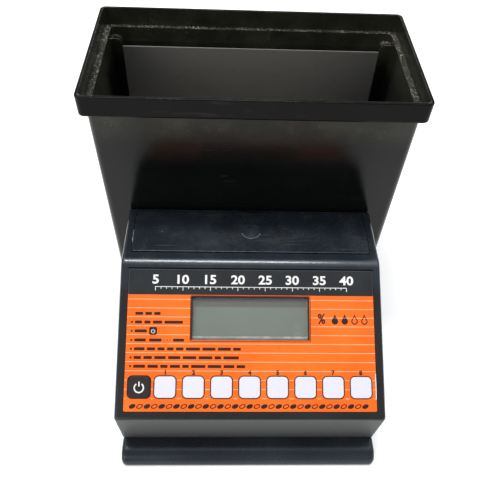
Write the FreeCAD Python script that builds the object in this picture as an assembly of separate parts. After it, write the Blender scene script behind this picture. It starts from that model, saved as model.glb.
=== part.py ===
import FreeCAD, Part
import math
import os
from FreeCAD import Vector as V

# Grain moisture meter: a sloping control console in front of a tall capacitive measuring cell,
# both standing on one moulded base plate. Millimetres, +Z up, +Y towards the cell,
# origin at the bottom centre of the whole instrument.

# ---------------------------------------------------------------- driving dimensions
# measuring cell
RIM_W, RIM_D, RIM_TOP = 216.0, 111.0, 193.7     # collar outside, and its top edge
COLLAR_H = 14.5                                 # height of the collar skirt
CELL_W, CELL_D = 207.6, 102.8                   # cell body outside, just below the collar
CELL_CY = 71.5                                  # centre of the cell along Y
CELL_DRAFT = 1.0                                # degrees, narrowing downwards
CELL_WALL = 2.2
CELL_BOT = 3.5                                  # underside of the cell's skirt
FLOOR_LO, FLOOR_HI = 12.0, 14.6                 # cell floor
RIM_R, CELL_R = 4.0, 5.0                        # plan corner radii
# electrodes
ELEC_W, ELEC_T = 194.0, 1.0
ELEC_TOP, ELEC_BOT = 169.5, 15.0
ELEC_GAP = 3.2                                  # clear distance from the wall behind
# console
CON_HW = 86.4                                   # half width
CON_REAR, CON_RIDGE, CON_FRONT, CON_FOOT = 21.0, -28.3, -116.4, -110.2
CON_TOP, CON_FRONT_Z, CON_BOT = 98.5, 47.636, 3.5
CON_WALL = 2.5
# sloping panel: s runs up the slope from the overlay's lower edge, n is its outward normal
TILT = 30.0
PAN_Y, PAN_Z = -111.9, 50.234                    # overlay's lower edge on the slope
OVL_W, OVL_H, OVL_T, OVL_REC = 161.2, 91.0, 0.4, 0.5
WIN_X0, WIN_X1, WIN_S0, WIN_S1 = -39.4, 38.1, 44.7, 73.2
KEY, KEY_R, KEY_S0 = 13.3, 2.7, 8.4
KEY1_X0, KEY_PITCH = -61.5, 17.95
PWR_X0, PWR_W = -78.2, 13.9
KEY_GAP, KEY_PROUD, KEY_TRAVEL = 0.25, 0.4, 0.5
PCB_N, PCB_T = -11.0, 1.6
# battery door and bay
DOOR_HW, DOOR_Y0, DOOR_Y1, DOOR_T = 80.6, -20.0, 17.5, 2.2
DOOR_GAP, DOOR_FRONT_GAP, DOOR_PROUD = 0.3, 0.9, 0.15
BAY_X0, BAY_X1, BAY_Y0, BAY_Y1, BAY_FLOOR = -70.0, 60.0, -17.2, 14.7, 78.7
THUMB_R, THUMB_Y = 6.2, -1.0
# base plate
BASE_Z0, BASE_Z1 = 1.0, 3.5
FLG_TOP, FLG_Y0, FLG_Y1, FLG_HW = 9.5, -127.0, -111.2, 85.8
FLG_FLAT, LIP_TOP = 6.2, 2.6                    # depth of the flange's flat top, height of its front lip
FOOT_R = 6.0

PARTS = {}


def put(name, shape):
    PARTS[name] = shape


def box(x0, x1, y0, y1, z0, z1):
    return Part.makeBox(x1 - x0, y1 - y0, z1 - z0, V(x0, y0, z0))


def cyl(r, p, d, h):
    return Part.makeCylinder(r, h, V(*p), V(*d))


def fuse(shapes):
    out = shapes[0]
    if len(shapes) > 1:
        out = shapes[0].fuse(shapes[1:])
    return out.removeSplitter()


def rrect(x0, x1, y0, y1, r, z=0.0):
    """Rounded rectangle wire at height z."""
    k = r * (1 - math.sqrt(0.5))
    c = [
        Part.LineSegment(V(x0 + r, y0, z), V(x1 - r, y0, z)),
        Part.Arc(V(x1 - r, y0, z), V(x1 - k, y0 + k, z), V(x1, y0 + r, z)),
        Part.LineSegment(V(x1, y0 + r, z), V(x1, y1 - r, z)),
        Part.Arc(V(x1, y1 - r, z), V(x1 - k, y1 - k, z), V(x1 - r, y1, z)),
        Part.LineSegment(V(x1 - r, y1, z), V(x0 + r, y1, z)),
        Part.Arc(V(x0 + r, y1, z), V(x0 + k, y1 - k, z), V(x0, y1 - r, z)),
        Part.LineSegment(V(x0, y1 - r, z), V(x0, y0 + r, z)),
        Part.Arc(V(x0, y0 + r, z), V(x0 + k, y0 + k, z), V(x0 + r, y0, z)),
    ]
    return Part.Wire([e.toShape() for e in c])


def rprism(x0, x1, y0, y1, r, z0, z1):
    return Part.Face(rrect(x0, x1, y0, y1, r, z0)).extrude(V(0, 0, z1 - z0))


def loft(w, d, z0, z1, draft, r, cy=CELL_CY, ref=None):
    """Rounded rectangular frustum whose size is w by d at height ref, narrowing downwards."""
    ref = z1 if ref is None else ref
    ws = []
    for z in (z0, z1):
        k = (ref - z) * math.tan(math.radians(draft))
        ws.append(rrect(-w / 2 + k, w / 2 - k, cy - d / 2 + k, cy + d / 2 - k, r, z))
    return Part.makeLoft(ws, True, True)


# local frame of the sloping panel
_a = math.radians(TILT)
U, N = V(0, math.cos(_a), math.sin(_a)), V(0, -math.sin(_a), math.cos(_a))
PANEL = FreeCAD.Placement(V(0, PAN_Y, PAN_Z), FreeCAD.Rotation(V(1, 0, 0), TILT))


def on_panel(shape):
    """Moves a shape made in (x, s, n) to its place on the sloping panel."""
    s = shape.copy()
    s.Placement = PANEL.multiply(s.Placement)
    return s


def pt(x, s, n):
    p = V(0, PAN_Y, PAN_Z) + U * s + N * n
    return V(x, p.y, p.z)


def tube(points, r, radii):
    """A round lead through straight runs joined by tangent arcs."""
    pts = [V(*p) for p in points]
    edges, start = [], pts[0]
    for i in range(1, len(pts) - 1):
        a = (pts[i - 1] - pts[i]).normalize()
        b = (pts[i + 1] - pts[i]).normalize()
        half = a.getAngle(b) / 2
        t = radii[i - 1] / math.tan(half)
        p0, p1 = pts[i] + a * t, pts[i] + b * t
        mid = (a + b).normalize()
        c = pts[i] + mid * (radii[i - 1] / math.sin(half))
        pm = c - mid * radii[i - 1]
        edges.append(Part.LineSegment(start, p0).toShape())
        edges.append(Part.Arc(p0, pm, p1).toShape())
        start = p1
    edges.append(Part.LineSegment(start, pts[-1]).toShape())
    path = Part.Wire(edges)
    d = (pts[1] - pts[0]).normalize()
    prof = Part.Wire([Part.Circle(pts[0], d, r).toShape()])
    solid = path.makePipeShell([prof], True, False)
    print("lead length %.1f mm, volume %.1f, section times length %.1f, radii %s" % (path.Length, solid.Volume, math.pi * r * r * path.Length, radii))
    return solid


def screw(p, d, shank_r, length, head_r, head_h):
    """Pan head screw: p is the centre of the head's bearing face, d points along the shank."""
    d = V(*d)
    head = Part.makeCylinder(head_r, head_h, V(*p) - d * head_h, d)
    shank = Part.makeCylinder(shank_r, length, V(*p), d)
    slot_v = V(1, 0, 0)
    other = d.cross(slot_v)
    cut = []
    for v, w in ((slot_v, other), (other, slot_v)):
        h = head_r * 0.62
        pts = [v * h + w * 0.35, v * -h + w * 0.35, v * -h - w * 0.35, v * h - w * 0.35]
        base = V(*p) - d * head_h
        wire = Part.makePolygon([base + q for q in pts] + [base + pts[0]])
        cut.append(Part.Face(wire).extrude(d * head_h * 0.55))
    return head.fuse(shank).cut(cut[0]).cut(cut[1]).removeSplitter()


# ================================================================ measuring cell
CY = CELL_CY
step_z = RIM_TOP - COLLAR_H
tan1 = math.tan(math.radians(CELL_DRAFT))


def cell_half(z):
    """Outside half width and half depth of the cell body at height z."""
    k = (step_z - z) * tan1
    return CELL_W / 2 - k, CELL_D / 2 - k


outer = loft(CELL_W, CELL_D, CELL_BOT, step_z + 1.0, CELL_DRAFT, CELL_R, ref=step_z)
collar = loft(RIM_W, RIM_D, step_z, RIM_TOP, CELL_DRAFT, RIM_R, ref=RIM_TOP)
# soft lower edge of the skirt and a fine radius along the rim's outer edge
low = [e for e in collar.Edges if all(abs(v.Z - step_z) < 1e-6 for v in e.Vertexes)]
collar = collar.makeFillet(1.6, low)
high = [e for e in collar.Edges if all(abs(v.Z - RIM_TOP) < 1e-6 for v in e.Vertexes)]
collar = collar.makeFillet(0.7, high)
cell = outer.fuse(collar).removeSplitter()
ledge_z = step_z + CELL_WALL
cell = cell.cut(loft(RIM_W - 2 * CELL_WALL, RIM_D - 2 * CELL_WALL, ledge_z, RIM_TOP + 1.0, CELL_DRAFT, RIM_R - 1.6, ref=RIM_TOP))
cell = cell.cut(loft(CELL_W - 2 * CELL_WALL, CELL_D - 2 * CELL_WALL, FLOOR_HI, ledge_z + 1.0, CELL_DRAFT, CELL_R - 1.6, ref=step_z))
cell = cell.cut(loft(CELL_W - 2 * CELL_WALL, CELL_D - 2 * CELL_WALL, CELL_BOT - 1.0, FLOOR_LO, CELL_DRAFT, CELL_R - 1.6, ref=step_z))
# guide ribs that make a slot for each electrode's ends
hw_top, hd_top = cell_half(step_z)
hw_bot, hd_bot = cell_half(FLOOR_HI)
elec_y = {}
for side, sgn in (("front", -1), ("rear", 1)):
    # electrode centre plane stands vertical, clear of the drafted wall
    y_wall = CY + sgn * (hd_bot - CELL_WALL)
    elec_y[side] = y_wall - sgn * (ELEC_GAP - 1.2)
ribs = []
inner_env = loft(CELL_W - 1.0, CELL_D - 1.0, FLOOR_LO + 0.5, ledge_z - 1.5, CELL_DRAFT, CELL_R - 1.0, ref=step_z)
for side, sgn in (("front", -1), ("rear", 1)):
    ye = elec_y[side]
    for sx in (-1, 1):
        # the rib on the wall's side runs back into the wall, the other stands free in front of the plate
        for d0, d1 in ((-2.2, -0.65), (0.65, 6.5)):
            y0, y1 = sorted((ye + sgn * d0, ye + sgn * d1))
            x0, x1 = sorted((sx * 93.8, sx * 104.5))
            rib = box(x0, x1, y0, y1, FLOOR_LO + 1.0, ELEC_TOP + 6.5)
            tip = [e for e in rib.Edges if abs(e.CenterOfMass.x - sx * 93.8) < 1e-6 and abs(e.CenterOfMass.z - (ELEC_TOP + 6.5)) < 1e-6]
            rib = rib.makeFillet(4.0, tip)
            ribs.append(rib.common(inner_env))
cell = cell.fuse(ribs).removeSplitter()
# screw bosses under the floor, and the slots for the electrode tags
CELL_BOSS = [(-78.0, 36.0), (78.0, 36.0), (-78.0, 107.0), (78.0, 107.0)]
cell = cell.fuse([cyl(4.2, (x, y, BASE_Z1 + 0.1), (0, 0, 1), FLOOR_LO - BASE_Z1 + 0.5) for x, y in CELL_BOSS]).removeSplitter()
for x, y in CELL_BOSS:
    cell = cell.cut(cyl(1.5, (x, y, BASE_Z1 - 1), (0, 0, 1), 9.0))
TAG_X = 30.0
for side in ("front", "rear"):
    ye = elec_y[side]
    cell = cell.cut(box(TAG_X - 3.3, TAG_X + 3.3, ye - 0.8, ye + 0.8, FLOOR_LO - 1, FLOOR_HI + 1))
cell = cell.cut(box(TAG_X - 6, TAG_X + 6, 18.0, 30.0, CELL_BOT - 1, 11.0))
put("measuring_cell", cell)

for side in ("front", "rear"):
    ye = elec_y[side]
    plate = box(-ELEC_W / 2, ELEC_W / 2, ye - ELEC_T / 2, ye + ELEC_T / 2, ELEC_BOT, ELEC_TOP)
    ends = [e for e in plate.Edges if abs(abs(e.CenterOfMass.x) - ELEC_W / 2) < 1e-6 and abs(e.CenterOfMass.z - ELEC_TOP) < 1e-6]
    plate = plate.makeFillet(1.2, ends)
    tag = box(TAG_X - 3, TAG_X + 3, ye - ELEC_T / 2, ye + ELEC_T / 2, 9.0, ELEC_BOT + 1)
    tag = tag.cut(cyl(1.0, (TAG_X, ye - 2, 10.6), (0, 1, 0), 4))
    put("electrode_" + side, fuse([plate, tag]))

# ================================================================ console housing
prof = [(CON_REAR, CON_BOT), (CON_REAR, CON_TOP), (CON_RIDGE, CON_TOP), (CON_FRONT, CON_FRONT_Z), (CON_FOOT, CON_BOT)]


def poly_yz(pts, x0, x1):
    w = Part.makePolygon([V(x0, y, z) for y, z in pts] + [V(x0, *pts[0])])
    return Part.Face(w).extrude(V(x1 - x0, 0, 0))


def inset(pts, t):
    """Insets a convex polygon, listed anticlockwise or clockwise, by t."""
    n = len(pts)
    cx = sum(p[0] for p in pts) / n
    cz = sum(p[1] for p in pts) / n
    lines = []
    for i in range(n):
        (y0, z0), (y1, z1) = pts[i], pts[(i + 1) % n]
        dy, dz = y1 - y0, z1 - z0
        ln = math.hypot(dy, dz)
        ny, nz = -dz / ln, dy / ln
        if (cx - y0) * ny + (cz - z0) * nz < 0:
            ny, nz = -ny, -nz
        lines.append((y0 + ny * t, z0 + nz * t, dy / ln, dz / ln))
    out = []
    for i in range(n):
        y0, z0, a, b = lines[i - 1]
        y1, z1, c, d = lines[i]
        det = a * (-d) + b * c
        k = ((y1 - y0) * (-d) + (z1 - z0) * c) / det
        out.append((y0 + a * k, z0 + b * k))
    return out


shell = poly_yz(prof, -CON_HW, CON_HW)


def edges_where(shape, f):
    return [e for e in shape.Edges if f(e)]


def _vertical(e):
    return abs(e.Vertexes[0].X - e.Vertexes[-1].X) < 1e-6


# the ridge, the brow and the rear top edge are rounded in section, then the side edges as one smooth chain
R_REAR, R_RIDGE, R_BROW, R_SIDE = 2.8, 11.0, 2.6, 2.4
for y, z, r in ((CON_REAR, CON_TOP, R_REAR), (CON_RIDGE, CON_TOP, R_RIDGE), (CON_FRONT, CON_FRONT_Z, R_BROW)):
    pick = [e for e in shell.Edges if e.BoundBox.XLength > 100 and abs(e.CenterOfMass.y - y) < 1e-6 and abs(e.CenterOfMass.z - z) < 1e-6]
    shell = shell.makeFillet(r, pick)
sides = [e for e in shell.Edges if e.BoundBox.XLength < 1e-6 and abs(abs(e.CenterOfMass.x) - CON_HW) < 1e-6 and e.BoundBox.ZMax > CON_BOT + 1e-6]
shell = shell.makeFillet(R_SIDE, sides)

inner = inset(prof, CON_WALL)
inner = [(y, (CON_BOT - 5 if z < 20 else z)) for y, z in inner]
shell = shell.cut(poly_yz(inner, -CON_HW + CON_WALL, CON_HW - CON_WALL))
# battery bay: a moulded well under the door
bay = box(BAY_X0 - 2, BAY_X1 + 2, BAY_Y0 - 2, BAY_Y1 + 2, BAY_FLOOR - 2, CON_TOP - 1.2)
pad = box(-DOOR_HW - 2, DOOR_HW + 2, DOOR_Y0 - 2.4, CON_REAR - 1.2, CON_TOP - 5.0, CON_TOP - 1.2)
shell = shell.fuse([bay, pad]).removeSplitter()
shell = shell.cut(rprism(-DOOR_HW - DOOR_GAP, DOOR_HW + DOOR_GAP, DOOR_Y0 - DOOR_FRONT_GAP, DOOR_Y1 + DOOR_GAP, 2.2, CON_TOP - DOOR_T - 0.05 + DOOR_PROUD, CON_TOP + 5))
shell = shell.cut(box(BAY_X0, BAY_X1, BAY_Y0, BAY_Y1, BAY_FLOOR, CON_TOP))
# slots in the ledge for the door's front tabs, and the well for its rear tongue
TAB_X = 52.0
for sx in (-1, 1):
    shell = shell.cut(box(sx * TAB_X - 6.4, sx * TAB_X + 6.4, DOOR_Y0 - 2.9, BAY_Y0 + 1, CON_TOP - 6.4, CON_TOP - 2.45))
    shell = shell.cut(box(sx * TAB_X - 6.4, sx * TAB_X + 6.4, DOOR_Y0 - DOOR_FRONT_GAP, BAY_Y0 + 1, CON_TOP - 6.4, CON_TOP))
shell = shell.cut(box(-7.2, 7.2, BAY_Y1 - 1, DOOR_Y1 + 0.95, CON_TOP - 9.0, CON_TOP + 1))
# overlay recess, display window and key holes
shell = shell.cut(on_panel(rprism(-OVL_W / 2 - 0.4, OVL_W / 2 + 0.4, -0.4, OVL_H + 0.4, 1.2, -OVL_REC, 3.0)))
shell = shell.cut(on_panel(rprism(WIN_X0, WIN_X1, WIN_S0, WIN_S1, 0.6, -6.0, 3.0)))
KEYS = [("on_off", PWR_X0, PWR_W)] + [(str(i + 1), KEY1_X0 + i * KEY_PITCH, KEY) for i in range(8)]
for _, x0, w in KEYS:
    shell = shell.cut(on_panel(rprism(x0 - KEY_GAP, x0 + w + KEY_GAP, KEY_S0 - KEY_GAP, KEY_S0 + KEY + KEY_GAP, KEY_R + KEY_GAP, -6.0, 3.0)))
# circuit board bosses on the underside of the panel
PCB_BOSS = [(-75.5, 2.8), (75.5, 2.8), (-75.5, 84.5), (75.5, 84.5), (-52.0, 33.0), (52.0, 33.0)]
bosses = [on_panel(cyl(3.0, (x, s, PCB_N + 0.02), (0, 0, 1), -CON_WALL + 0.6 - PCB_N)) for x, s in PCB_BOSS]
shell = shell.fuse(bosses).removeSplitter()
for x, s in PCB_BOSS:
    shell = shell.cut(on_panel(cyl(1.25, (x, s, PCB_N - 1), (0, 0, 1), 8.5)))
# corner bosses for the base screws
CON_BOSS = [(-79.5, 8.0), (79.5, 8.0), (-79.5, -95.0), (79.5, -95.0)]
shell = shell.fuse([cyl(4.6, (x, y, BASE_Z1 + 0.1), (0, 0, 1), 24.0) for x, y in CON_BOSS]).removeSplitter()
for x, y in CON_BOSS:
    shell = shell.cut(cyl(1.5, (x, y, BASE_Z1 - 1), (0, 0, 1), 15.0))
# lead hole in the bay floor and lead notch in the rear wall
shell = shell.cut(cyl(2.6, (-64.0, 0.0, BAY_FLOOR - 5), (0, 0, 1), 8.0))
shell = shell.cut(box(TAG_X - 6, TAG_X + 6, CON_REAR - 4, CON_REAR + 2, CON_BOT - 1, 11.0))
# battery holder screw pilot holes
for x in (-50.0, 50.0):
    shell = shell.cut(cyl(1.0, (x, -1.25, BAY_FLOOR - 5), (0, 0, 1), 8.0))
put("console_housing", shell)

# ================================================================ overlay, window, display
ovl = rprism(-OVL_W / 2, OVL_W / 2, 0, OVL_H, 0.9, -OVL_REC, -OVL_REC + OVL_T)
ovl = ovl.cut(rprism(WIN_X0, WIN_X1, WIN_S0, WIN_S1, 0.6, -2, 2))
for _, x0, w in KEYS:
    ovl = ovl.cut(rprism(x0 - KEY_GAP, x0 + w + KEY_GAP, KEY_S0 - KEY_GAP, KEY_S0 + KEY + KEY_GAP, KEY_R + KEY_GAP, -2, 2))
put("panel_overlay", on_panel(ovl))

wx, ws = (WIN_X0 + WIN_X1) / 2, (WIN_S0 + WIN_S1) / 2
put("display_window", on_panel(rprism(wx - 42, wx + 42, ws - 17.6, ws + 17.6, 1.0, -CON_WALL - 1.22, -CON_WALL - 0.02)))
G_HI = -CON_WALL - 1.22 - 0.13
put("lcd_glass", on_panel(fuse([box(wx - 40.6, wx + 40.6, ws - 17.6, ws + 17.6, G_HI - 1.5, G_HI - 0.2 - 1.1), box(wx - 40.6, wx + 40.6, ws - 15.4, ws + 17.6, G_HI - 1.3, G_HI)])))
fr = rprism(wx - 43, wx + 43, ws - 20, ws + 20, 1.5, PCB_N, -CON_WALL - 1.22)
fr = fr.cut(box(wx - 41, wx + 41, ws - 18, ws + 18, PCB_N - 1, 0))
put("lcd_frame", on_panel(fr))
z0, z1 = PCB_N, G_HI - 1.5
put("lcd_contact_strips", on_panel(Part.makeCompound([box(wx - 38, wx + 38, ws - 17.2, ws - 15.0, z0, z1), box(wx - 38, wx + 38, ws + 15.0, ws + 17.2, z0, z1)])))

# ================================================================ circuit board and switches
pcb = rprism(-79.0, 79.0, -1.5, 88.5, 1.5, PCB_N - PCB_T, PCB_N)
for x, s in PCB_BOSS:
    pcb = pcb.cut(cyl(1.6, (x, s, PCB_N - 3), (0, 0, 1), 6))
put("main_circuit_board", on_panel(pcb))
put("board_screws", Part.makeCompound([on_panel(screw((x, s, PCB_N - PCB_T), (0, 0, 1), 1.2, 8.0, 2.6, 1.6)) for x, s in PCB_BOSS]))

sw = []
for name, x0, w in KEYS:
    cx, cs = x0 + w / 2, KEY_S0 + KEY / 2
    body = box(cx - 3, cx + 3, cs - 3, cs + 3, PCB_N, PCB_N + 3.5)
    body = body.makeChamfer(0.3, [e for e in body.Edges if abs(e.CenterOfMass.z - PCB_N - 3.5) < 1e-6])
    body = body.cut(cyl(1.8, (cx, cs, PCB_N + 0.2), (0, 0, 1), 5))
    legs = [box(cx + a - 0.3, cx + a + 0.3, cs + b - 0.3, cs + b + 0.3, PCB_N - PCB_T - 1.2, PCB_N - PCB_T) for a in (-2.6, 2.6) for b in (-2.2, 2.2)]
    sw.append(on_panel(body))
    plunger = cyl(1.7, (cx, cs, PCB_N + 0.8), (0, 0, 1), 4.2)
    put("switch_plunger_" + name, on_panel(plunger))
    # key cap: crowned pad above a stem, with a retaining flange under the panel
    x1 = x0 + w
    cap = rprism(x0, x1, KEY_S0, KEY_S0 + KEY, KEY_R, -CON_WALL - 0.1, -OVL_REC + OVL_T + KEY_PROUD)
    rim = [e for e in cap.Edges if all(abs(v.Z - (-OVL_REC + OVL_T + KEY_PROUD)) < 1e-6 for v in e.Vertexes)]
    cap = cap.makeFillet(0.45, rim)
    flange = rprism(x0 + 0.1, x1 - 0.1, KEY_S0 - 1.3, KEY_S0 + KEY + 1.3, 1.0, -CON_WALL - 1.3, -CON_WALL - 0.1)
    stem = cyl(2.2, (cx, cs, PCB_N + 5.0), (0, 0, 1), -CON_WALL - 1.3 - PCB_N - 5.0)
    put("key_" + name, on_panel(fuse([cap, flange, stem])))
put("switch_bodies", Part.makeCompound(sw))

comp = []
b = PCB_N - PCB_T
comp.append(box(-26, 26, 31.5, 45.0, b - 4.2, b - 0.5))                         # controller in its socket
put("controller_chip", on_panel(comp[0].makeChamfer(0.5, [e for e in comp[0].Edges if abs(e.CenterOfMass.z - (b - 4.2)) < 1e-6])))
put("chip_socket", on_panel(Part.makeCompound([box(-26.6, 26.6, 31.2, 34.0, b - 0.5, b), box(-26.6, 26.6, 42.5, 45.3, b - 0.5, b)])))
caps = [cyl(r, (x, s, b - h), (0, 0, 1), h) for x, s, r, h in ((-44, 52, 3.1, 9), (-34, 56, 3.1, 9), (44, 56, 4.0, 11))]
put("capacitors", on_panel(Part.makeCompound(caps)))
put("crystal", on_panel(rprism(31, 42, 37.5, 42.0, 2.2, b - 3.6, b)))
BAT_C, ELE_C = (-62.0, 60.0), (TAG_X, 66.0)
put("battery_connector", on_panel(box(BAT_C[0] - 5, BAT_C[0] + 5, BAT_C[1] - 3, BAT_C[1] + 3, b - 7.0, b)))
put("electrode_connector", on_panel(box(ELE_C[0] - 5, ELE_C[0] + 5, ELE_C[1] - 3, ELE_C[1] + 3, b - 7.0, b)))

# ================================================================ battery door
dz0, dz1 = CON_TOP - DOOR_T + DOOR_PROUD, CON_TOP + DOOR_PROUD
door = rprism(-DOOR_HW, DOOR_HW, DOOR_Y0, DOOR_Y1, 2.0, dz0, dz1)
rim = [e for e in door.Edges if all(abs(v.Z - dz1) < 1e-6 for v in e.Vertexes)]
door = door.makeFillet(0.5, rim)
# thumb scoop: deepest along a half-round edge, running out to nothing behind it
cone = Part.makeCylinder(THUMB_R, 6.0, V(0, THUMB_Y, dz1 - 1.1), V(0, 0, 1))
wedge = poly_yz([(THUMB_Y - THUMB_R - 1, dz1 - 1.1), (THUMB_Y + THUMB_R + 0.5, dz1 + 0.02), (THUMB_Y + THUMB_R + 0.5, dz1 + 4), (THUMB_Y - THUMB_R - 1, dz1 + 4)], -10, 10)
door = door.cut(cone.common(wedge))
scoop = [e for e in door.Edges if e.BoundBox.XLength > 6.0 and e.BoundBox.XLength < 13.0 and abs(e.BoundBox.YMin - (THUMB_Y - THUMB_R)) < 0.2 and e.BoundBox.ZMin > dz1 - 0.01]
if scoop:
    door = door.makeFillet(0.3, scoop)
# rear tongue and its finger lip, front tabs, stiffening ribs
tongue = box(-6.5, 6.5, DOOR_Y1 - 1.6, DOOR_Y1 - 0.2, dz0 - 5.0, dz0 + 0.5)
tabs = []
for sx in (-1, 1):
    tabs.append(box(sx * TAB_X - 5.5, sx * TAB_X + 5.5, DOOR_Y0 + 0.3, DOOR_Y0 + 1.9, dz0 - 2.8, dz0 + 0.5))
    tabs.append(box(sx * TAB_X - 5.5, sx * TAB_X + 5.5, DOOR_Y0 - 2.2, DOOR_Y0 + 1.9, dz0 - 2.8, dz0 - 1.3))
stiff = [box(-56, 56, y - 0.6, y + 0.6, dz0 - 1.4, dz0 + 0.3) for y in (-9.5, 8.5)]
door = fuse([door, tongue] + tabs + stiff)
put("battery_door", door)

# ================================================================ battery holder, cells, contacts, springs
HX, HY0, HY1, HZ0, HZ1 = 58.0, -16.9, 14.4, BAY_FLOOR, 89.0
hold = box(-HX, HX, HY0, HY1, HZ0, HZ1)
hold = hold.cut(box(-HX + 1.4, HX - 1.4, HY0 + 1.0, HY1 - 1.0, HZ0 + 1.5, HZ1 + 1))
hold = hold.fuse(box(-HX + 0.5, HX - 0.5, -1.25 - 0.3, -1.25 + 0.3, HZ0 + 1.0, HZ0 + 6.0)).removeSplitter()
for x in (-50.0, 50.0):
    hold = hold.cut(cyl(1.3, (x, -1.25, HZ0 - 1), (0, 0, 1), 9.0)).cut(cyl(2.6, (x, -1.25, HZ0 + 1.5), (0, 0, 1), 6.0))
hold = hold.cut(box(-HX - 1, -HX + 2, -4.4, 1.9, HZ0 + 4.0, HZ1 + 1))
put("battery_holder", hold)
put("holder_screws", Part.makeCompound([screw((x, -1.25, HZ0 + 1.5), (0, 0, -1), 0.95, 5.0, 2.2, 1.3) for x in (-50.0, 50.0)]))
AA_R, AA_L = 7.1, 49.3
rows = {"a": (-1.25 - 7.5, 1), "b": (-1.25 + 7.5, -1)}
cz = HZ0 + 1.5 + AA_R + 0.1
cells, springs, contacts = [], [], []
for key, (cy, sgn) in rows.items():
    for k in (0, 1):
        # negative end starts beside the spring
        x_neg = -sgn * (51.3 - k * 50.35)
        body = cyl(AA_R, (x_neg, cy, cz), (sgn, 0, 0), AA_L)
        e = [q for q in body.Edges if q.BoundBox.XLength < 1e-6]
        body = body.makeFillet(0.5, e)
        nub = cyl(2.7, (x_neg + sgn * (AA_L - 0.1), cy, cz), (sgn, 0, 0), 1.1)
        cells.append(fuse([body, nub]))
    x_end = -sgn * 56.0
    h = 4.7
    helix = Part.makeHelix(1.25, h - 0.8, 3.8)
    prof_w = Part.Wire([Part.Circle(V(3.8, 0, 0), V(0, 1, 0), 0.35).toShape()])
    sp = Part.Wire(helix.Edges).makePipeShell([prof_w], True, True)
    sp.Placement = FreeCAD.Placement(V(x_end + sgn * 0.45, cy, cz), FreeCAD.Rotation(V(0, 0, 1), V(sgn, 0, 0)))
    springs.append(sp)
put("aa_cells", Part.makeCompound(cells))
put("battery_springs", Part.makeCompound(springs))
t = 0.4
contacts.append(box(-56.55, -56.15, -15.2, -2.3, HZ0 + 2.0, HZ1 - 1.0))
contacts.append(box(-56.55, -56.15, -0.2, 12.7, HZ0 + 2.0, HZ1 - 1.0))
contacts.append(box(56.15, 56.55, -15.2, 12.7, HZ0 + 6.6, HZ1 - 1.0))
# raised positive pads
contacts.append(box(-56.15, -51.25 + 0.2, 6.25 - 3, 6.25 + 3, cz - 3, cz + 3))
contacts.append(box(51.25 - 0.2, 56.15, -8.75 - 3, -8.75 + 3, cz - 3, cz + 3))
put("battery_contacts", Part.makeCompound([fuse([contacts[1], contacts[3]]), contacts[0], fuse([contacts[2], contacts[4]])]))

# ================================================================ base plate, feet, screws
hwb, hdb = cell_half(CELL_BOT)
plate = rprism(-85.4, 85.4, -121.0, CY + hdb - 0.3, 4.0, BASE_Z0, BASE_Z1)
# the flange's section: flat on top, then a round nose tangent to it, then a small upright lip
fy = FLG_Y1 - FLG_FLAT
drop = FLG_TOP - LIP_TOP
run_y = fy - FLG_Y0
nr = (run_y ** 2 + drop ** 2) / (2 * drop)
a1 = math.atan2(LIP_TOP - (FLG_TOP - nr), -run_y)
am = (math.pi / 2 + a1) / 2
mid_pt = V(-FLG_HW, fy + nr * math.cos(am), FLG_TOP - nr + nr * math.sin(am))
nose = Part.Face(Part.Wire([
    Part.LineSegment(V(-FLG_HW, FLG_Y1, BASE_Z0), V(-FLG_HW, FLG_Y1, FLG_TOP)).toShape(),
    Part.LineSegment(V(-FLG_HW, FLG_Y1, FLG_TOP), V(-FLG_HW, fy, FLG_TOP)).toShape(),
    Part.Arc(V(-FLG_HW, fy, FLG_TOP), mid_pt, V(-FLG_HW, FLG_Y0, LIP_TOP)).toShape(),
    Part.LineSegment(V(-FLG_HW, FLG_Y0, LIP_TOP), V(-FLG_HW, FLG_Y0, BASE_Z0)).toShape(),
    Part.LineSegment(V(-FLG_HW, FLG_Y0, BASE_Z0), V(-FLG_HW, FLG_Y1, BASE_Z0)).toShape(),
])).extrude(V(2 * FLG_HW, 0, 0))
nose = nose.common(rprism(-FLG_HW, FLG_HW, FLG_Y0, -90, 4.0, 0, 20))
ends = [e for e in nose.Edges if abs(abs(e.CenterOfMass.x) - FLG_HW) < 1e-3 and e.BoundBox.XLength < 1e-3 and e.CenterOfMass.z > LIP_TOP and e.BoundBox.YLength > 1.0]
nose = nose.makeFillet(2.8, ends)
base = fuse([plate, nose])
base = base.cut(rprism(-FLG_HW + 2.5, FLG_HW - 2.5, FLG_Y0 + 3.0, FLG_Y1 - 1.5, 2.5, BASE_Z0 - 1, BASE_Z1 + 1.5))
for x in (-58, -29, 0, 29, 58):
    base = base.fuse(box(x - 0.9, x + 0.9, FLG_Y0 + 2.9, FLG_Y1 - 1.4, BASE_Z0 + 0.3, BASE_Z1 + 1.7))
base = base.removeSplitter()
# locating lip inside the console's walls
lip = rprism(-CON_HW + CON_WALL + 0.4, CON_HW - CON_WALL - 0.4, CON_FOOT + CON_WALL + 1.2, CON_REAR - CON_WALL - 0.4, 2.0, BASE_Z1 - 0.5, BASE_Z1 + 4.0)
lip = lip.cut(rprism(-CON_HW + CON_WALL + 2.2, CON_HW - CON_WALL - 2.2, CON_FOOT + CON_WALL + 3.0, CON_REAR - CON_WALL - 2.2, 1.0, BASE_Z1 - 2, BASE_Z1 + 6.0))
lip = lip.cut(box(TAG_X - 8, TAG_X + 8, 10, 30, BASE_Z1, BASE_Z1 + 10))
for x, y in CON_BOSS:
    lip = lip.cut(cyl(5.4, (x, y, BASE_Z1), (0, 0, 1), 20)).cut(box(min(x, x * 1.1), max(x, x * 1.1), y - 5.4, y + 5.4, BASE_Z1, 20))
base = base.fuse(lip).removeSplitter()
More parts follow.
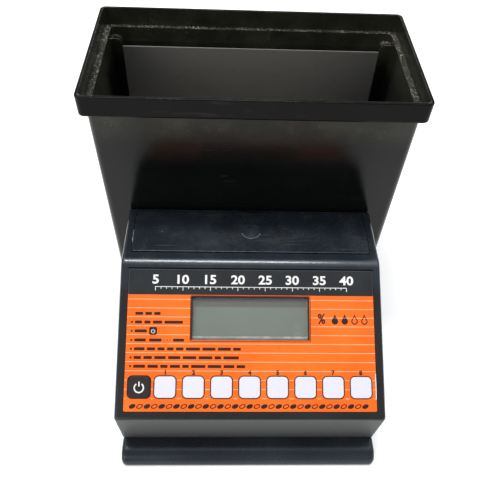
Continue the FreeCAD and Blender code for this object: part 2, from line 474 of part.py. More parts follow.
# edge where the plate would show beyond the console's rounded front corners is hidden under the flange
for x, y in CON_BOSS + CELL_BOSS:
    base = base.cut(cyl(1.7, (x, y, 0), (0, 0, 1), 10)).cut(cyl(3.2, (x, y, 0), (0, 0, 1), BASE_Z0 + 1.3))
FEET = [(-70.0, -100.0), (70.0, -100.0), (-70.0, 94.0), (70.0, 94.0)]
for x, y in FEET:
    base = base.cut(cyl(FOOT_R + 0.15, (x, y, 0), (0, 0, 1), BASE_Z0 + 1.0))
put("base_plate", base)
feet = []
for x, y in FEET:
    f = cyl(FOOT_R, (x, y, 0), (0, 0, 1), BASE_Z0 + 1.0)
    f = f.makeFillet(0.5, [e for e in f.Edges if abs(e.BoundBox.ZMax) < 1e-6])
    feet.append(f)
put("rubber_feet", Part.makeCompound(feet))
put("console_screws", Part.makeCompound([screw((x, y, BASE_Z0 + 1.3), (0, 0, 1), 1.4, 13.0, 2.9, 1.2) for x, y in CON_BOSS]))
put("cell_screws", Part.makeCompound([screw((x, y, BASE_Z0 + 1.3), (0, 0, 1), 1.4, 8.0, 2.9, 1.2) for x, y in CELL_BOSS]))

# ================================================================ internal leads
c = pt(BAT_C[0], BAT_C[1], b - 7.0)
for i, (name, dx) in enumerate((("battery_lead_positive", -1.6), ("battery_lead_negative", 1.6))):
    yy = 0.9 if i == 0 else -3.4
    run = [(-56.72 if i == 0 else -56.95, yy, HZ0 + 7.5), (-64.0 + dx * 0.75, yy * 0.25, HZ0 + 7.5), (-64.0 + dx * 0.75, yy * 0.25, 58.0), (c.x + dx, c.y + 3.5 + 12 * 0.5, c.z - 3.5 * 1.7 - 10 * 0.866), (c.x + dx, c.y + 0.15, c.z - 0.3)]
    put(name, tube(run, 0.75, [2.6, 6.0, 7.0]))
c = pt(ELE_C[0], ELE_C[1], b - 7.0)
yf, yr = elec_y["front"], elec_y["rear"]
run = [(c.x - 1.8, c.y, c.z), (c.x - 1.8, c.y + 8, c.z - 13.86), (c.x - 1.8, -4.0, 7.6), (TAG_X - 1.8, yf - 9.0, 7.6), (TAG_X - 1.0, yf - 1.3, 10.0)]
put("electrode_lead_front", tube(run, 0.8, [8.0, 12.0, 5.0]))
run = [(c.x + 1.8, c.y, c.z), (c.x + 1.8, c.y + 8, c.z - 13.86), (c.x + 1.8, -4.0, 7.0), (TAG_X + 4.6, yf + 4.0, 6.2), (TAG_X + 4.6, yr - 14.0, 6.2), (TAG_X + 1.2, yr - 1.3, 9.6)]
put("electrode_lead_rear", tube(run, 0.8, [8.0, 12.0, 20.0, 5.0]))

os.makedirs("parts", exist_ok=True)
for old in os.listdir("parts"):
    if old.endswith(".step") and old[:-5] not in PARTS:
        os.remove(os.path.join("parts", old))
for name, shape in PARTS.items():
    solids = shape.Solids
    bad = [s for s in solids if not s.isValid() or s.Volume <= 0]
    print("%-24s solids %2d volume %10.1f mm3 %s" % (name, len(solids), shape.Volume, "INVALID" if bad else ""))
    out = solids[0] if len(solids) == 1 else Part.makeCompound(solids)
    out.exportStep(os.path.join("parts", name + ".step"))
print("nodes", len(PARTS))
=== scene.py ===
import bpy
import bmesh
import math
import random
from mathutils import Matrix, Vector


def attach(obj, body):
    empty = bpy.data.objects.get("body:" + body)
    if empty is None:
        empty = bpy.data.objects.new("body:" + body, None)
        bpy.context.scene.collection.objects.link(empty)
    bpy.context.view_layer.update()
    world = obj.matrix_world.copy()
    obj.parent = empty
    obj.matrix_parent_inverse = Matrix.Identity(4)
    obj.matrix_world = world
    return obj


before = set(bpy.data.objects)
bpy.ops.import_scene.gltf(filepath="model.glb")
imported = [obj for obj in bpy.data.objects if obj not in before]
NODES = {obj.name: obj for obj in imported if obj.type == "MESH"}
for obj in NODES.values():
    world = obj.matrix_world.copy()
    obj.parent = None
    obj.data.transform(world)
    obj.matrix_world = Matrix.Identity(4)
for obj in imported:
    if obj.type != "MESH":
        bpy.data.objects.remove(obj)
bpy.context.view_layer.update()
MM = 0.001
ROOT = "instrument"

# local frame of the sloping panel: x across, s up the slope, n outwards (millimetres)
TILT = math.radians(30.0)
PAN = Vector((0.0, -111.9, 50.234))
UP = Vector((0.0, math.cos(TILT), math.sin(TILT)))
OUT = Vector((0.0, -math.sin(TILT), math.cos(TILT)))
FILM = -0.1                                   # the overlay's top face
KEYS = [("on_off", -78.2, 13.9)] + [(str(i + 1), -61.5 + 17.95 * i, 13.3) for i in range(8)]
KEY_S0, KEY_H, KEY_R = 8.4, 13.3, 2.7
WIN = (-39.4, 38.1, 44.7, 73.2)


def P(x, s, n):
    return (Vector((x, 0.0, 0.0)) + PAN + UP * s + OUT * n) * MM


# ------------------------------------------------------------------ node material helpers
class Mat:
    def __init__(self, name):
        self.m = bpy.data.materials.new(name)
        self.m.use_nodes = True
        self.t = self.m.node_tree
        self.t.nodes.clear()
        self.out = self.t.nodes.new("ShaderNodeOutputMaterial")
        self.b = self.t.nodes.new("ShaderNodeBsdfPrincipled")
        self.t.links.new(self.b.outputs[0], self.out.inputs[0])
        self.tc = self.t.nodes.new("ShaderNodeTexCoord")
        self.obj = self.tc.outputs["Object"]
        self.geo = None

    def link(self, a, b):
        self.t.links.new(a, b)

    def _in(self, sock, v):
        if hasattr(v, "is_linked") or isinstance(v, bpy.types.NodeSocket):
            self.t.links.new(v, sock)
        elif isinstance(v, (tuple, list)) and sock.type == "RGBA" and len(v) == 3:
            sock.default_value = (*v, 1.0)
        else:
            sock.default_value = v

    def scale(self, sx, sy=None, sz=None, rot=(0, 0, 0), vec=None, loc=(0, 0, 0)):
        n = self.t.nodes.new("ShaderNodeMapping")
        n.vector_type = "POINT"
        self.link(vec or self.obj, n.inputs[0])
        n.inputs["Location"].default_value = loc
        n.inputs["Rotation"].default_value = rot
        n.inputs["Scale"].default_value = (sx, sy if sy is not None else sx, sz if sz is not None else sx)
        return n.outputs[0]

    def noise(self, scale, detail=3.0, rough=0.5, dist=0.0, vec=None):
        n = self.t.nodes.new("ShaderNodeTexNoise")
        self.link(vec or self.obj, n.inputs["Vector"])
        n.inputs["Scale"].default_value = scale
        n.inputs["Detail"].default_value = detail
        n.inputs["Roughness"].default_value = rough
        n.inputs["Distortion"].default_value = dist
        return n.outputs["Fac"]

    def voronoi(self, scale, feature="F1", vec=None, rand=1.0):
        n = self.t.nodes.new("ShaderNodeTexVoronoi")
        n.feature = feature
        self.link(vec or self.obj, n.inputs["Vector"])
        n.inputs["Scale"].default_value = scale
        n.inputs["Randomness"].default_value = rand
        return n.outputs["Distance"]

    def math(self, op, a, b=0.0, c=None, clamp=False):
        n = self.t.nodes.new("ShaderNodeMath")
        n.operation = op
        n.use_clamp = clamp
        self._in(n.inputs[0], a)
        self._in(n.inputs[1], b)
        if c is not None:
            self._in(n.inputs[2], c)
        return n.outputs[0]

    def ramp(self, v, lo, hi, t0=0.0, t1=1.0, smooth=True):
        n = self.t.nodes.new("ShaderNodeMapRange")
        n.interpolation_type = "SMOOTHSTEP" if smooth else "LINEAR"
        self._in(n.inputs["Value"], v)
        n.inputs["From Min"].default_value = lo
        n.inputs["From Max"].default_value = hi
        n.inputs["To Min"].default_value = t0
        n.inputs["To Max"].default_value = t1
        return n.outputs[0]

    def mix(self, fac, a, b):
        n = self.t.nodes.new("ShaderNodeMix")
        n.data_type = "RGBA"
        self._in(n.inputs[0], fac)
        self._in(n.inputs[6], a)
        self._in(n.inputs[7], b)
        return n.outputs[2]

    def sep(self, vec=None):
        n = self.t.nodes.new("ShaderNodeSeparateXYZ")
        self.link(vec or self.obj, n.inputs[0])
        return n.outputs

    def normal_z(self):
        if self.geo is None:
            self.geo = self.t.nodes.new("ShaderNodeNewGeometry")
        return self.sep(self.geo.outputs["Normal"])[2]

    def bump(self, height, dist, strength=1.0, normal=None):
        n = self.t.nodes.new("ShaderNodeBump")
        n.inputs["Strength"].default_value = strength
        n.inputs["Distance"].default_value = dist
        self.link(height, n.inputs["Height"])
        if normal is not None:
            self.link(normal, n.inputs["Normal"])
        return n.outputs[0]

    def set(self, **kw):
        names = {"color": "Base Color", "rough": "Roughness", "metal": "Metallic", "spec": "Specular IOR Level",
                 "coat": "Coat Weight", "coat_rough": "Coat Roughness", "normal": "Normal", "alpha": "Alpha",
                 "ior": "IOR", "sheen": "Sheen Weight", "sss": "Subsurface Weight", "aniso": "Anisotropic",
                 "trans": "Transmission Weight", "emit": "Emission Strength", "coat_normal": "Coat Normal"}
        for k, v in kw.items():
            self._in(self.b.inputs[names[k]], v)
        return self

    # panel coordinate s (mm up the slope) and x (mm)
    def panel(self):
        o = self.sep()
        y = self.math("SUBTRACT", o[1], PAN.y * MM)
        z = self.math("SUBTRACT", o[2], PAN.z * MM)
        s = self.math("ADD", self.math("MULTIPLY", y, math.cos(TILT) * 1000), self.math("MULTIPLY", z, math.sin(TILT) * 1000))
        x = self.math("MULTIPLY", o[0], 1000.0)
        return x, s


def moulded_black(name, tint, rough, gloss_var=0.08, dust=0.35, scratch=0.35, peel=0.00003, wave=0.00004, spec=0.5, kind=None, spec_tint=(1.0, 1.0, 1.0)):
    """Injection-moulded black plastic: uneven gloss, faint flow marks, hairline scratches, dust that lies on flat tops."""
    m = Mat(name)
    big = m.noise(18.0, 3.0, 0.55)
    lift = 0.0004 if kind == "cell" else 0.002
    col = m.mix(m.ramp(big, 0.3, 0.7), tint, tuple(c * 1.7 + lift for c in tint))
    # hairline scratches in three directions
    lines = None
    for ang, sc in ((0.35, 1.0), (1.9, 1.3), (2.75, 0.8)):
        v = m.scale(26.0 * sc, 1900.0 * sc, 260.0 * sc, rot=(0.15, 0.1, ang))
        n = m.ramp(m.noise(1.0, 1.0, 0.4, vec=v), 0.70, 0.76)
        gate = m.ramp(m.noise(31.0 * sc, 2.0, vec=m.scale(1.0, loc=(ang, 0, 0))), 0.5, 0.62)
        n = m.math("MULTIPLY", n, gate)
        lines = n if lines is None else m.math("MAXIMUM", lines, n)
    lines = m.math("MULTIPLY", lines, scratch)
    # dust on faces that look up
    up = m.ramp(m.normal_z(), 0.55, 0.95)
    specks = m.ramp(m.noise(2300.0, 1.0, 0.5), 0.70, 0.76)
    film = m.ramp(m.noise(60.0, 4.0, 0.6), 0.42, 0.75)
    d = m.math("MULTIPLY", up, m.math("MULTIPLY", dust, m.math("ADD", m.math("MULTIPLY", specks, m.math("ADD", film, 0.25)), m.math("MULTIPLY", film, 0.03))), clamp=True)
    col = m.mix(lines, col, (0.06, 0.06, 0.063))
    col = m.mix(d, col, (0.42, 0.40, 0.36))
    smear = m.ramp(m.noise(42.0, 5.0, 0.62, 0.6), 0.45, 0.72)
    r = m.math("ADD", rough, m.math("MULTIPLY", smear, gloss_var))
    r = m.math("ADD", r, m.math("MULTIPLY", lines, 0.35))
    r = m.math("ADD", r, m.math("MULTIPLY", d, 0.5), clamp=True)
    n1 = m.bump(m.noise(2600.0, 2.0, 0.5), peel)
    n2 = m.bump(m.noise(34.0, 1.0, 0.4), wave, normal=n1)
    n3 = m.bump(m.math("MULTIPLY", lines, -1.0), 0.00002, normal=n2)
    sp = spec
    if kind == "housing":
        # the upright faces under the panel are spark-textured and rougher; they look paler through a painted
        # reflection of the floor in their colour
        nz = m.normal_z()
        low = m.math("MULTIPLY", m.ramp(nz, 0.02, -0.05), m.ramp(nz, -0.6, -0.4))
        hy = m.sep()[1]
        low = m.math("MULTIPLY", low, m.ramp(hy, -0.095, -0.105))
        # the flat top and the ridge are polished by handling and keep the bluer black, a painted tint of the blue
        # light they reflect; the sloping frame keeps a warmer, softer black
        top = m.math("MULTIPLY", m.ramp(hy, -0.047, -0.040), m.ramp(nz, 0.30, 0.60))
        col = m.mix(top, m.mix(m.ramp(big, 0.3, 0.7), (0.0085, 0.0078, 0.0086), (0.0150, 0.0140, 0.0150)), col)
        r = m.math("SUBTRACT", r, m.math("MULTIPLY", top, 0.07))
        grit_and_floor_reflection = m.mix(m.ramp(m.noise(900.0, 3.0, 0.6), 0.35, 0.7), (0.044, 0.046, 0.042), (0.056, 0.057, 0.052))
        col = m.mix(low, col, grit_and_floor_reflection)
        r = m.math("MAXIMUM", r, m.math("MULTIPLY", low, 0.55))
    if kind == "cell":
        deep = m.ramp(m.sep()[2], 0.150, 0.060)
        col = m.mix(m.math("MULTIPLY", deep, 0.75), col, (0.0062, 0.0066, 0.0060))
        r = m.math("MULTIPLY_ADD", m.math("MULTIPLY", deep, m.ramp(m.normal_z(), 0.3, 0.6)), 0.14, r)
        # inside the hopper seat: a yellowish film, partly sample dust and partly a painted reflection of the yellow
        # sample, with pale crumbs caught along the ledge
        o = m.sep()
        inside = m.math("MULTIPLY", m.ramp(m.math("ABSOLUTE", o[0]), 0.1064, 0.1058), m.ramp(m.math("ABSOLUTE", m.math("SUBTRACT", o[1], 0.0715)), 0.0539, 0.0533))
        inside = m.math("MULTIPLY", inside, m.ramp(o[2], 0.150, 0.176))
        dust_and_sample_reflection = m.ramp(m.noise(48.0, 5.0, 0.65), 0.35, 0.7, 0.45, 1.0)
        col = m.mix(m.math("MULTIPLY", inside, m.math("MULTIPLY", dust_and_sample_reflection, 0.80)), col, (0.034, 0.0335, 0.0235))
        edge = m.math("MAXIMUM", m.ramp(m.math("ABSOLUTE", o[0]), 0.0940, 0.1000), m.ramp(o[1], 0.1130, 0.1190))
        crumbs = m.math("MULTIPLY", m.ramp(m.noise(1150.0, 3.0, 0.65), 0.565, 0.63), m.ramp(m.noise(70.0, 4.0, 0.65), 0.36, 0.62))
        fine = m.ramp(m.noise(1900.0, 1.0, 0.5), 0.62, 0.70)
        cr = m.math("MULTIPLY", m.math("MAXIMUM", crumbs, m.math("MULTIPLY", fine, 0.5)), m.math("MULTIPLY", inside, m.math("MULTIPLY", up, edge)))
        wallfine = m.math("MULTIPLY", m.math("MULTIPLY", fine, m.ramp(m.noise(40.0, 4.0, 0.7), 0.5, 0.75)), m.math("MULTIPLY", inside, 0.35))
        cr = m.math("MAXIMUM", cr, wallfine)
        col = m.mix(cr, col, (0.46, 0.45, 0.40))
        r = m.math("ADD", r, m.math("MULTIPLY", inside, 0.08))
        r = m.math("MAXIMUM", r, m.math("MULTIPLY", cr, 0.8))
        # the collar's outer band is a little duller than the tall walls
        sp = m.math("SUBTRACT", spec, m.math("MULTIPLY", m.ramp(o[2], 0.1788, 0.1796), m.math("MULTIPLY", m.math("SUBTRACT", 1.0, inside), 0.145)))
        # a hazy patch in the middle of the tall wall, under the collar
        haze = m.math("MULTIPLY", m.ramp(m.math("ABSOLUTE", o[0]), 0.098, 0.050), m.math("MULTIPLY", m.ramp(o[2], 0.095, 0.160), m.ramp(o[2], 0.1796, 0.1788)))
        sp = m.math("SUBTRACT", sp, m.math("MULTIPLY", haze, 0.09))
    m.set(color=col, rough=r, normal=n3, spec=sp)
    m.b.inputs["Specular IOR Level"].default_value = spec
    m.b.inputs["Specular Tint"].default_value = (*spec_tint, 1.0)
    return m


def assign(node, mat):
    o = NODES[node]
    if not o.material_slots:
        o.data.materials.append(mat.m)
    for sl in o.material_slots:
        sl.material = mat.m


# ------------------------------------------------------------------ mesh helpers for thin printed shapes
def mesh_object(name, bm, mat, body=ROOT, smooth=False):
    bmesh.ops.remove_doubles(bm, verts=bm.verts, dist=1e-7)
    bmesh.ops.recalc_face_normals(bm, faces=bm.faces)
    me = bpy.data.meshes.new(name)
    bm.to_mesh(me)
    bm.free()
    if smooth:
        for p in me.polygons:
            p.use_smooth = True
    o = bpy.data.objects.new(name, me)
    bpy.context.scene.collection.objects.link(o)
    me.materials.append(mat.m)
    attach(o, body)
    return o


def rr(x0, x1, s0, s1, r, seg=8):
    pts = []
    for cx, cs, a0 in ((x1 - r, s0 + r, -90), (x1 - r, s1 - r, 0), (x0 + r, s1 - r, 90), (x0 + r, s0 + r, 180)):
        for i in range(seg + 1):
            a = math.radians(a0 + 90.0 * i / seg)
            pts.append((cx + r * math.cos(a), cs + r * math.sin(a)))
    return pts


def circle(cx, cs, r, seg=32, rs=None, rot=0.0):
    rs = r if rs is None else rs
    c, s = math.cos(rot), math.sin(rot)
    out = []
    for i in range(seg):
        a = 2 * math.pi * i / seg
        x, y = r * math.cos(a), rs * math.sin(a)
        out.append((cx + x * c - y * s, cs + x * s + y * c))
    return out


def slab(bm, pts, n0, n1, put=P):
    lo = [bm.verts.new(put(x, s, n0)) for x, s in pts]
    hi = [bm.verts.new(put(x, s, n1)) for x, s in pts]
    k = len(pts)
    bm.faces.new(hi)
    bm.faces.new(list(reversed(lo)))
    for i in range(k):
        j = (i + 1) % k
        bm.faces.new((lo[i], lo[j], hi[j], hi[i]))


def ring(bm, outer, inner, n0, n1, put=P):
    a = [[bm.verts.new(put(x, s, n)) for x, s in loop] for loop in (outer, inner) for n in (n0, n1)]
    ol, oh, il, ih = a
    k = len(outer)
    for i in range(k):
        j = (i + 1) % k
        bm.faces.new((oh[i], oh[j], ih[j], ih[i]))
        bm.faces.new((ol[j], ol[i], il[i], il[j]))
        bm.faces.new((ol[i], ol[j], oh[j], oh[i]))
        bm.faces.new((il[j], il[i], ih[i], ih[j]))


def arc_band(bm, cx, cs, r, w, a0, a1, n0, n1, seg=28, put=P):
    pts = [(cx + (r + w / 2) * math.cos(math.radians(a0 + (a1 - a0) * i / seg)), cs + (r + w / 2) * math.sin(math.radians(a0 + (a1 - a0) * i / seg))) for i in range(seg + 1)]
    pts2 = [(cx + (r - w / 2) * math.cos(math.radians(a0 + (a1 - a0) * i / seg)), cs + (r - w / 2) * math.sin(math.radians(a0 + (a1 - a0) * i / seg))) for i in range(seg + 1)]
    for i in range(seg):
        slab(bm, [pts2[i], pts[i], pts[i + 1], pts2[i + 1]], n0, n1, put)


def digits(bm, text, cx, cs, cap, n0, n1, weight=0.0, put=P, squeeze=1.0):
    """Plain numbers as closed thin shapes, centred at (cx, cs), cap millimetres high."""
    cu = bpy.data.curves.new("t", "FONT")
    cu.body = text
    cu.size = 1.0
    cu.extrude = 0.5
    cu.offset = weight
    cu.resolution_u = 4
    o = bpy.data.objects.new("t", cu)
    bpy.context.scene.collection.objects.link(o)
    bpy.context.view_layer.update()
    me = bpy.data.meshes.new_from_object(o.evaluated_get(bpy.context.evaluated_depsgraph_get()))
    xs = [v.co.x for v in me.vertices]
    ys = [v.co.y for v in me.vertices]
    k = cap / (max(ys) - min(ys))
    mx, my = (max(xs) + min(xs)) / 2, (max(ys) + min(ys)) / 2
    t = bmesh.new()
    t.from_mesh(me)
    bmesh.ops.remove_doubles(t, verts=t.verts, dist=1e-5)
    vm = {}
    for v in t.verts:
        vm[v] = bm.verts.new(put(cx + (v.co.x - mx) * k * squeeze, cs + (v.co.y - my) * k, n1 if v.co.z > 0 else n0))
    for f in t.faces:
        try:
            bm.faces.new([vm[v] for v in f.verts])
        except ValueError:
            pass
    t.free()
    width = (max(xs) - min(xs)) * k * squeeze
    bpy.data.objects.remove(o)
    bpy.data.curves.remove(cu)
    bpy.data.meshes.remove(me)
    return width


def droplet(cx, cs, r):
    """Outline of a drop: round below, drawn to a point above."""
    pts = []
    for i in range(33):
        a = math.radians(150 + 240 * i / 32)
        pts.append((cx + r * math.cos(a), cs + r * math.sin(a)))
    return pts + [(cx + r * 0.30, cs + r * 1.45), (cx, cs + r * 2.2), (cx - r * 0.30, cs + r * 1.45)]


# ------------------------------------------------------------------ materials
M_CELL = moulded_black("cell_black_abs", (0.0018, 0.0021, 0.0018), 0.085, gloss_var=0.07, dust=0.9, scratch=0.16, wave=0.00002, spec=0.240, kind="cell")
# the bluish specular tints of housing, door and base paint a blue cast of the room's light into their reflections
M_HOUSING = moulded_black("housing_black_abs", (0.0112, 0.0145, 0.0200), 0.19, gloss_var=0.09, dust=0.5, scratch=0.30, spec=0.55, kind="housing", spec_tint=(0.90, 0.96, 1.0))
M_DOOR = moulded_black("door_black_abs", (0.0085, 0.0112, 0.0155), 0.25, gloss_var=0.12, dust=0.9, scratch=0.8, spec=0.58, spec_tint=(0.72, 0.90, 1.0))
M_BASE = moulded_black("base_black_abs", (0.0140, 0.0160, 0.0215), 0.27, gloss_var=0.06, dust=0.4, scratch=0.3, wave=0.00002, spec=0.38, spec_tint=(0.78, 0.92, 1.0))

# stainless sheet, rolled grain along its length
st = Mat("stainless_sheet")
grain = st.noise(1.0, 2.0, 0.5, vec=st.scale(14.0, 1500.0, 1500.0))
soft = st.noise(25.0, 3.0)
stain = st.ramp(st.noise(70.0, 5.0, 0.65, 0.8), 0.55, 0.8)
st.set(color=st.mix(stain, st.mix(grain, (0.62, 0.61, 0.58), (0.70, 0.69, 0.66)), (0.50, 0.48, 0.44)), metal=1.0,
       rough=st.math("ADD", st.math("ADD", 0.40, st.math("MULTIPLY", grain, 0.08)), st.math("MULTIPLY", stain, 0.12)),
       normal=st.bump(grain, 0.00001, normal=st.bump(soft, 0.00012)))

# printed film: warm orange, slightly uneven ink, satin face
ov = Mat("overlay_orange_ink")
x_, s_ = ov.panel()
ink = ov.mix(ov.ramp(ov.noise(28.0, 4.0, 0.6), 0.3, 0.75), (0.90, 0.135, 0.010), (0.95, 0.172, 0.017))
ink = ov.mix(ov.ramp(ov.noise(3500.0, 1.0), 0.3, 0.8, 0.0, 0.12), ink, (0.72, 0.085, 0.008))
grime = ov.math("MULTIPLY", ov.ramp(ov.noise(95.0, 5.0, 0.7), 0.56, 0.8), 0.22)
ink = ov.mix(grime, ink, (0.42, 0.10, 0.03))
ov.set(color=ink, rough=ov.ramp(ov.noise(55.0, 4.0, 0.6), 0.3, 0.8, 0.36, 0.50), spec=0.22,
       normal=ov.bump(ov.noise(5200.0, 1.0), 0.000006, normal=ov.bump(ov.noise(30.0, 2.0), 0.00006)))


def film_ink(name, c, r=0.4, spec=0.25):
    m = Mat(name)
    v = m.ramp(m.noise(60.0, 4.0, 0.6), 0.3, 0.8)
    col = m.mix(v, c, tuple(min(1.0, k * 1.25 + 0.003) for k in c))
    m.set(color=col, rough=m.ramp(m.noise(50.0, 4.0), 0.3, 0.8, r - 0.06, r + 0.08), spec=spec, normal=m.bump(m.noise(5200.0, 1.0), 0.000006))
    return m


M_HEADER = film_ink("overlay_charcoal_ink", (0.0165, 0.0190, 0.0215), 0.42, 0.22)
M_WHITE = film_ink("overlay_white_ink", (0.74, 0.73, 0.72), 0.45)
M_BROWN = film_ink("overlay_dark_ink", (0.028, 0.010, 0.008), 0.45)
M_LINE = film_ink("overlay_fine_line_ink", (0.93, 0.46, 0.28), 0.45)
M_EDGE_HIGHLIGHT = film_ink("overlay_film_edge_painted_highlight", (0.055, 0.060, 0.066), 0.35)
M_SHADE = film_ink("recess_shade_black", (0.0012, 0.0013, 0.0016), 0.75, 0.04)
M_CRUMB = film_ink("sample_crumb_pale", (0.62, 0.56, 0.42), 0.7, 0.2)
M_RECESS_HIGHLIGHT = film_ink("recess_edge_highlight_grey", (0.20, 0.22, 0.23), 0.35, 0.5)


def key_plastic(name, c, rough):
    m = Mat(name)
    wear = m.ramp(m.noise(240.0, 5.0, 0.65), 0.52, 0.8)
    c2 = tuple(k * 0.84 for k in c)
    col = m.mix(m.math("MULTIPLY", wear, 0.5), c, c2)
    m.set(color=col, rough=m.math("ADD", rough, m.math("MULTIPLY", wear, 0.15)), normal=m.bump(m.noise(4200.0, 2.0), 0.00001, normal=m.bump(m.noise(160.0, 1.0), 0.00003)), sss=0.0)
    return m


M_KEYW = key_plastic("key_white_abs", (0.700, 0.690, 0.815), 0.38)
M_KEYD = key_plastic("key_charcoal_abs", (0.0120, 0.0100, 0.0105), 0.38)

# display: grey-green reflective cell, darker towards its upper edge, where a painted shadow of the window frame lies
# across it
lc = Mat("display_cell")
lx, ls = lc.panel()
cloud = lc.ramp(lc.noise(26.0, 3.0, 0.5), 0.3, 0.75)
base = lc.mix(cloud, (0.085, 0.112, 0.089), (0.098, 0.129, 0.102))
# painted shadow of the window frame across the upper band
base = lc.mix(lc.ramp(ls, 65.9, 67.2), base, (0.046, 0.048, 0.042))
base = lc.mix(lc.ramp(ls, 53.0, 47.8, 0.0, 0.30), base, (0.118, 0.146, 0.119))
smx = lc.math("SUBTRACT", lx, 31.0)
sms = lc.math("SUBTRACT", ls, 51.0)
rad = lc.math("SQRT", lc.math("ADD", lc.math("MULTIPLY", smx, smx), lc.math("MULTIPLY", sms, lc.math("MULTIPLY", sms, 0.45))))
sm = lc.math("MULTIPLY", lc.ramp(rad, 4.2, 0.5), lc.ramp(lc.noise(520.0, 4.0, 0.6, 1.0), 0.45, 0.7))
base = lc.mix(lc.math("MULTIPLY", sm, 0.5), base, (0.30, 0.32, 0.28))
lc.set(color=base, rough=lc.math("ADD", 0.26, lc.math("MULTIPLY", sm, 0.3)), spec=0.2, normal=lc.bump(lc.noise(40.0, 1.0), 0.00002))

cw = Mat("clear_acrylic")
cw.set(color=cw.mix(cw.noise(30.0, 3.0), (0.86, 0.88, 0.85), (0.95, 0.96, 0.94)), rough=cw.ramp(cw.noise(70.0, 5.0, 0.65), 0.45, 0.8, 0.04, 0.16), alpha=0.06, ior=1.49)

gk = Mat("gasket_foam")
gk.set(color=gk.mix(gk.noise(900.0, 3.0), (0.022, 0.012, 0.010), (0.042, 0.026, 0.022)), rough=0.7, normal=gk.bump(gk.noise(1800.0, 3.0), 0.00004))

rf = Mat("display_edge_white")
rf.set(color=rf.mix(rf.ramp(rf.noise(120.0, 4.0, 0.7), 0.35, 0.7), (0.20, 0.22, 0.195), (0.42, 0.44, 0.40)), rough=0.40, normal=rf.bump(rf.noise(600.0, 2.0), 0.00003))

rim_m = Mat("display_rim_grey")
rim_m.set(color=rim_m.mix(rim_m.ramp(rim_m.noise(150.0, 4.0, 0.7), 0.35, 0.7), (0.085, 0.098, 0.092), (0.15, 0.17, 0.155)), rough=0.38, normal=rim_m.bump(rim_m.noise(600.0, 2.0), 0.00002))
seal_m = Mat("display_seal_olive")
seal_m.set(color=seal_m.mix(seal_m.ramp(seal_m.noise(200.0, 4.0, 0.7), 0.35, 0.7), (0.030, 0.034, 0.026), (0.075, 0.082, 0.066)), rough=0.45, normal=seal_m.bump(seal_m.noise(700.0, 2.0), 0.00003))

ru = Mat("foot_rubber")
ru.set(color=ru.mix(ru.noise(140.0, 4.0), (0.016, 0.016, 0.016), (0.032, 0.031, 0.030)), rough=ru.ramp(ru.noise(300.0, 4.0), 0.3, 0.8, 0.6, 0.85), normal=ru.bump(ru.noise(1600.0, 3.0), 0.00003))

zn = Mat("zinc_plated_steel")
zn.set(color=zn.mix(zn.noise(220.0, 4.0), (0.52, 0.52, 0.50), (0.72, 0.71, 0.68)), metal=1.0, rough=zn.ramp(zn.noise(500.0, 3.0), 0.3, 0.8, 0.22, 0.42), normal=zn.bump(zn.noise(2600.0, 2.0), 0.00001))

pcb = Mat("circuit_board")
trace = pcb.ramp(pcb.voronoi(320.0, "DISTANCE_TO_EDGE", vec=pcb.scale(1.0, 1.0, 1.0)), 0.02, 0.05)
pcb.set(color=pcb.mix(trace, (0.10, 0.33, 0.13), (0.012, 0.10, 0.035)), rough=0.32, coat=0.4, coat_rough=0.15, normal=pcb.bump(trace, 0.00002))

sw = Mat("switch_black")
sw.set(color=sw.mix(sw.noise(300.0, 3.0), (0.012, 0.012, 0.013), (0.03, 0.03, 0.032)), rough=sw.ramp(sw.noise(500.0, 3.0), 0.3, 0.8, 0.35, 0.55), normal=sw.bump(sw.noise(3000.0, 2.0), 0.00001))

ny = Mat("natural_nylon")
ny.set(color=ny.mix(ny.noise(90.0, 4.0), (0.72, 0.71, 0.66), (0.84, 0.83, 0.78)), rough=ny.ramp(ny.noise(400.0, 3.0), 0.3, 0.8, 0.35, 0.55), normal=ny.bump(ny.noise(2500.0, 2.0), 0.00001))

el = Mat("silicone_strip")
el.set(color=el.mix(el.math("GREATER_THAN", el.math("FRACT", el.math("MULTIPLY", el.sep()[0], 2500.0)), 0.5), (0.05, 0.05, 0.05), (0.45, 0.42, 0.40)), rough=0.6, normal=el.bump(el.noise(2500.0, 2.0), 0.00002))

cp = Mat("capacitor_sleeve")
cp.set(color=cp.mix(cp.noise(300.0, 3.0), (0.012, 0.02, 0.08), (0.03, 0.045, 0.14)), rough=0.25, normal=cp.bump(cp.noise(900.0, 2.0), 0.00002))

lr = Mat("lead_red_pvc")
lr.set(color=lr.mix(lr.noise(300.0, 3.0), (0.42, 0.015, 0.012), (0.58, 0.03, 0.02)), rough=0.38, normal=lr.bump(lr.noise(1500.0, 2.0), 0.00002))
lb = Mat("lead_black_pvc")
lb.set(color=lb.mix(lb.noise(300.0, 3.0), (0.010, 0.010, 0.010), (0.022, 0.022, 0.022)), rough=0.38, normal=lb.bump(lb.noise(1500.0, 2.0), 0.00002))

# AA cells: printed sleeve, bare metal at both ends
aa = Mat("battery_sleeve")
ax = aa.math("ABSOLUTE", aa.math("MULTIPLY", aa.sep()[0], 1000.0))
band = aa.math("MAXIMUM", aa.ramp(ax, 49.6, 49.9), aa.ramp(ax, 2.3, 2.0))
stripe = aa.math("MULTIPLY", aa.ramp(ax, 33.0, 33.4), aa.ramp(ax, 43.4, 43.0))
sleeve = aa.mix(stripe, aa.mix(aa.noise(120.0, 4.0), (0.020, 0.045, 0.11), (0.03, 0.06, 0.15)), (0.70, 0.70, 0.68))
aa.set(color=aa.mix(band, sleeve, (0.72, 0.71, 0.68)), metal=aa.math("MAXIMUM", band, 0.0), rough=aa.ramp(aa.noise(400.0, 3.0), 0.3, 0.8, 0.18, 0.34), normal=aa.bump(aa.noise(900.0, 2.0), 0.00002))

